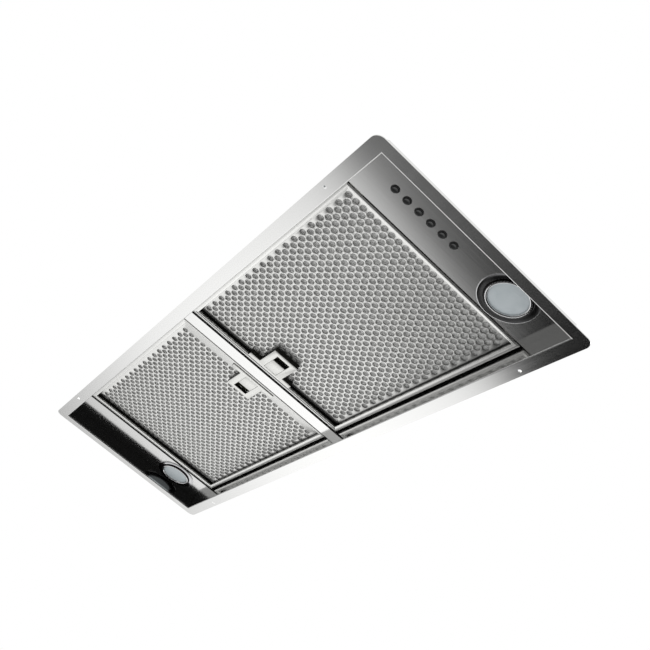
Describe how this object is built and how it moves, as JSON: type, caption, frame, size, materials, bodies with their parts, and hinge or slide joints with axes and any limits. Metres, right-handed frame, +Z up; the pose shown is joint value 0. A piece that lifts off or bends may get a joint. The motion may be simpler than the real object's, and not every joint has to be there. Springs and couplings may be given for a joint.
{
  "type": "range hood insert",
  "caption": "Recessed range hood insert: flanged stainless tray with latched tilting grease filters, lamps, push buttons, blower and round duct collar with damper.",
  "frame": {"origin": "centre of the flange's underside, midway between the four flange screws", "axes": "+X along the length towards the control panel, +Y towards the side that the lamps are nearer, +Z up into the cabinet"},
  "size_m": [0.89, 0.3, 0.29],
  "materials": {
    "stainless": "brushed stainless sheet",
    "filter_steel": "satin stainless sheet",
    "filter_mesh": "layered expanded mesh",
    "latch_metal": "satin lacquered",
    "latch_dark": "moulded, dark",
    "bezel": "polished",
    "lens": "frosted",
    "lamp_metal": "spun",
    "lamp_inside": "moulded, white",
    "clip_steel": "spring steel",
    "black_plastic": "moulded, black",
    "button_cap": "moulded, grey",
    "board": "laminate",
    "leads": "white sheath",
    "zinc": "zinc-coated sheet",
    "wheel": "moulded, black",
    "motor_steel": "bright steel",
    "capacitor": "drawn can",
    "screws": "zinc plated"
  },
  "bodies": {
    "hood": {"button_carrier": "black_plastic", "cable_gland": "black_plastic", "capacitor": "capacitor", "collar_ring": "zinc", "control_box": "black_plastic", "control_panel": "stainless", "crossbar": "stainless", "duct_collar": "zinc", "flap_pin": "motor_steel", "inner_leads": "leads", "lamp_bezel_far": "bezel", "lamp_bezel_near": "bezel", "lamp_cans": "lamp_metal", "lamp_clips": "clip_steel", "lamp_lens_far": "lens", "lamp_lens_near": "lens", "lamp_modules": "lamp_inside", "lamp_panel": "stainless", "lamp_reflectors": "lamp_metal", "motor": "motor_steel", "motor_bearings": "motor_steel", "motor_bracket": "zinc", "motor_chamber": "zinc", "pan_frame": "stainless", "power_board": "board", "push_switches": "black_plastic", "screws": "screws", "scroll_side_left": "zinc", "scroll_side_right": "zinc", "scroll_wall": "zinc", "service_cover": "zinc", "switch_board": "board", "terminal_box": "black_plastic", "terminal_lid": "black_plastic", "tray_roof": "zinc"},
    "filter_near": {"filter_frame_near": "filter_steel", "filter_face_near": "filter_steel", "filter_mesh_near": "filter_mesh", "hinge_tongues_near": "filter_steel", "latch_housing_near": "latch_metal", "latch_springs_near": "latch_dark"},
    "filter_far": {"filter_frame_far": "filter_steel", "filter_face_far": "filter_steel", "filter_mesh_far": "filter_mesh", "hinge_tongues_far": "filter_steel", "latch_housing_far": "latch_metal", "latch_springs_far": "latch_dark"},
    "latch_near": {"latch_slider_near": "latch_metal"},
    "latch_far": {"latch_slider_far": "latch_metal"},
    "wheel": {"impeller": "wheel", "wheel_rings": "wheel", "motor_shaft": "motor_steel"},
    "flap_front": {"flap_front": "zinc"},
    "flap_rear": {"flap_rear": "zinc"},
    "button_1": {"button_1": "button_cap"},
    "button_2": {"button_2": "button_cap"},
    "button_3": {"button_3": "button_cap"},
    "button_4": {"button_4": "button_cap"},
    "button_5": {"button_5": "button_cap"},
    "button_6": {"button_6": "button_cap"}
  },
  "joints": [
    {"name": "filter_near_tilt", "type": "hinge", "parent": "hood", "child": "filter_near", "pos_m": [0.3615, 0, 0.0265], "axis": [0, -1, 0], "range_deg": [0, 27]},
    {"name": "filter_far_tilt", "type": "hinge", "parent": "hood", "child": "filter_far", "pos_m": [-0.3615, 0, 0.0265], "axis": [0, 1, 0], "range_deg": [0, 27]},
    {"name": "latch_near_slide", "type": "slide", "parent": "filter_near", "child": "latch_near", "axis": [1, 0, 0], "range_m": [0, 0.007], "stiffness_N_per_m": 400, "springref_m": -0.006, "deforming": ["latch_springs_near"]},
    {"name": "latch_far_slide", "type": "slide", "parent": "filter_far", "child": "latch_far", "axis": [-1, 0, 0], "range_m": [0, 0.007], "stiffness_N_per_m": 400, "springref_m": -0.006, "deforming": ["latch_springs_far"]},
    {"name": "button_1_press", "type": "slide", "parent": "hood", "child": "button_1", "axis": [0, 0, 1], "range_m": [0, 0.0015], "stiffness_N_per_m": 500, "springref_m": -0.001},
    {"name": "button_2_press", "type": "slide", "parent": "hood", "child": "button_2", "axis": [0, 0, 1], "range_m": [0, 0.0015], "stiffness_N_per_m": 500, "springref_m": -0.001},
    {"name": "button_3_press", "type": "slide", "parent": "hood", "child": "button_3", "axis": [0, 0, 1], "range_m": [0, 0.0015], "stiffness_N_per_m": 500, "springref_m": -0.001},
    {"name": "button_4_press", "type": "slide", "parent": "hood", "child": "button_4", "axis": [0, 0, 1], "range_m": [0, 0.0015], "stiffness_N_per_m": 500, "springref_m": -0.001},
    {"name": "button_5_press", "type": "slide", "parent": "hood", "child": "button_5", "axis": [0, 0, 1], "range_m": [0, 0.0015], "stiffness_N_per_m": 500, "springref_m": -0.001},
    {"name": "button_6_press", "type": "slide", "parent": "hood", "child": "button_6", "axis": [0, 0, 1], "range_m": [0, 0.0015], "stiffness_N_per_m": 500, "springref_m": -0.001},
    {"name": "wheel_spin", "type": "hinge", "parent": "hood", "child": "wheel", "pos_m": [0, 0.0435, 0.158], "axis": [1, 0, 0], "continuous": true},
    {"name": "flap_front_swing", "type": "hinge", "parent": "hood", "child": "flap_front", "pos_m": [0, 0, 0.274], "axis": [-1, 0, 0], "range_deg": [0, 75]},
    {"name": "flap_rear_swing", "type": "hinge", "parent": "hood", "child": "flap_rear", "pos_m": [0, 0, 0.274], "axis": [1, 0, 0], "range_deg": [0, 75]}
  ]
}
